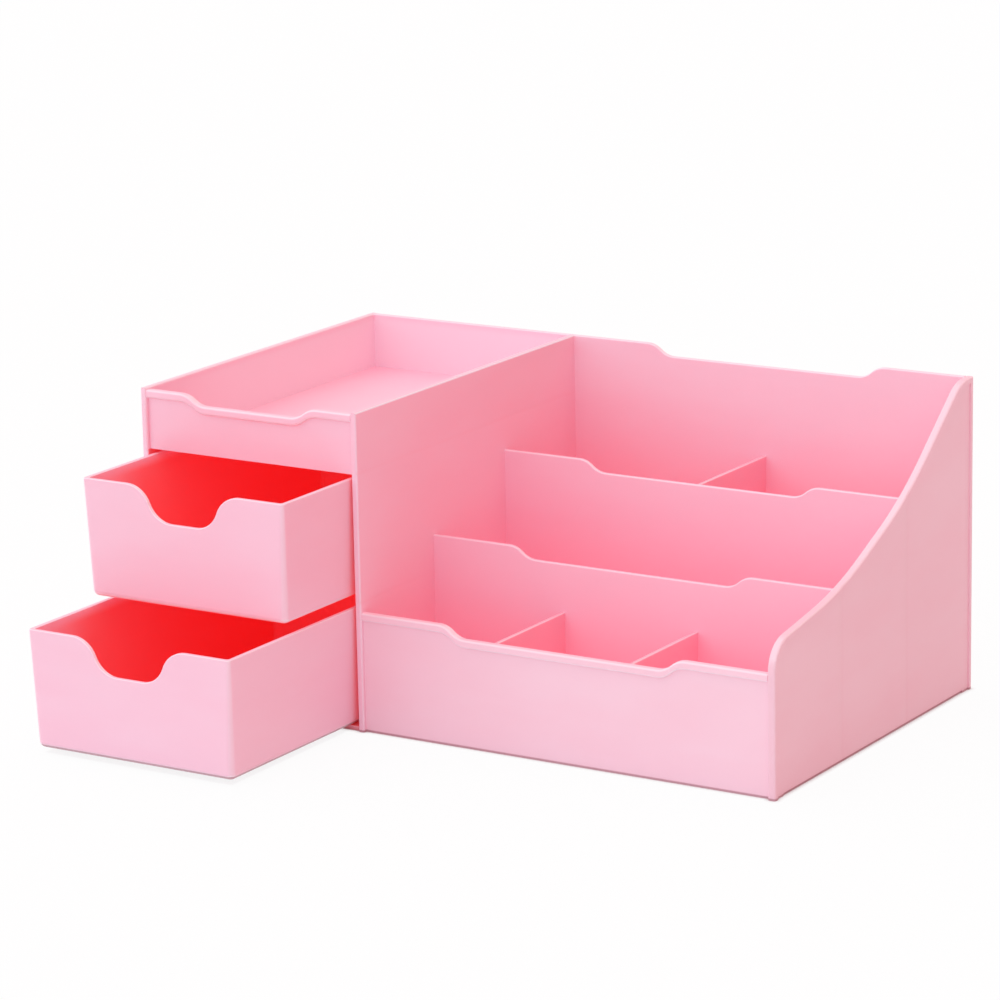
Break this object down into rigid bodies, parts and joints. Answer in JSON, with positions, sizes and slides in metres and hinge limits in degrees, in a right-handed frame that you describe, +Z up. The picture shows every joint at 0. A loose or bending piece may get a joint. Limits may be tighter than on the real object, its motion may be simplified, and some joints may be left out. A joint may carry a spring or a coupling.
{
  "type": "makeup organizer",
  "caption": "Pink plastic vanity organizer: a tower with a top tray and notched pull-out drawers beside open compartments stepped up to the back, closed by an S-edged side panel.",
  "frame": {"origin": "on the underside of the case's floor, at the middle of the case's width and depth", "axes": "+X to the right across the case, +Y to the back, +Z up; the drawers open towards -Y"},
  "size_m": [0.3, 0.2624, 0.135],
  "materials": {
    "pink_plastic": "satin moulded"
  },
  "bodies": {
    "case": {"left_side_panel": "pink_plastic", "mid_panel": "pink_plastic", "right_side_panel": "pink_plastic", "back_panel": "pink_plastic", "tray_floor": "pink_plastic", "tray_front": "pink_plastic", "drawer_shelf": "pink_plastic", "tower_floor": "pink_plastic", "compartment_floor": "pink_plastic", "front_panel": "pink_plastic", "tier_wall_front": "pink_plastic", "tier_wall_back": "pink_plastic", "front_divider_left": "pink_plastic", "front_divider_right": "pink_plastic", "back_divider": "pink_plastic"},
    "upper_drawer": {"upper_drawer": "pink_plastic"},
    "lower_drawer": {"lower_drawer": "pink_plastic"}
  },
  "joints": [
    {"name": "upper_drawer_slide", "type": "slide", "parent": "case", "child": "upper_drawer", "axis": [0, -1, 0], "range_m": [-0.0483, 0.0767]},
    {"name": "lower_drawer_slide", "type": "slide", "parent": "case", "child": "lower_drawer", "axis": [0, -1, 0], "range_m": [-0.0884, 0.0366]}
  ]
}
